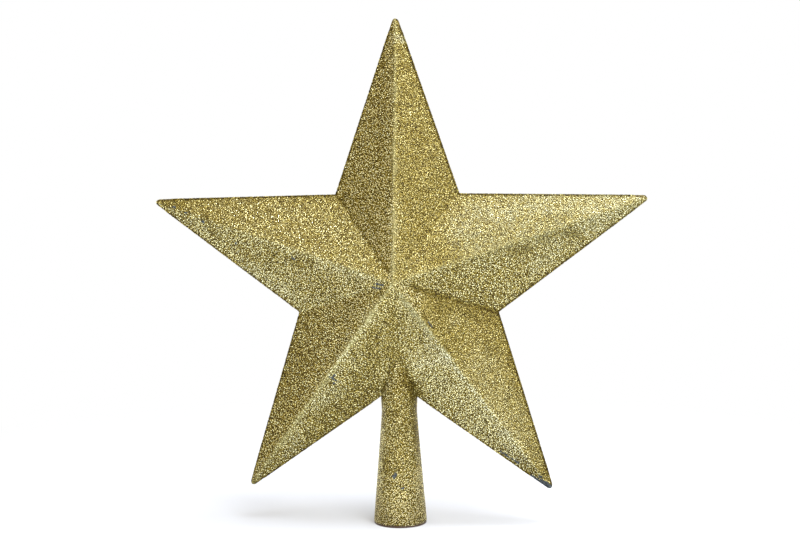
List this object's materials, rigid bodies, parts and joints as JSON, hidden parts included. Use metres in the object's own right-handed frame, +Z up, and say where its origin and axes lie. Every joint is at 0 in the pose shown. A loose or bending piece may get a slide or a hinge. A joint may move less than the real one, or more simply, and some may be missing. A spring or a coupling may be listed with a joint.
{
  "type": "christmas tree topper star",
  "caption": "Hollow faceted star, covered all over in gold glitter, with a tapered sleeve below it that slips over the tip of a Christmas tree.",
  "frame": {"origin": "middle of the sleeve's rim, at the bottom of the star", "axes": "+Z up the sleeve to the top point, -Y out of the star's front face, +X to the right as seen from the front"},
  "size_m": [0.19, 0.038, 0.1949],
  "materials": {
    "shell_plastic": "bare moulded plastic, grey-blue",
    "gold_glitter": "fine metallic gold flakes in clear glue"
  },
  "bodies": {
    "root": {"front_shell": "shell_plastic", "rear_shell": "shell_plastic", "sleeve": "shell_plastic", "glitter_coat": "gold_glitter"}
  },
  "joints": []
}
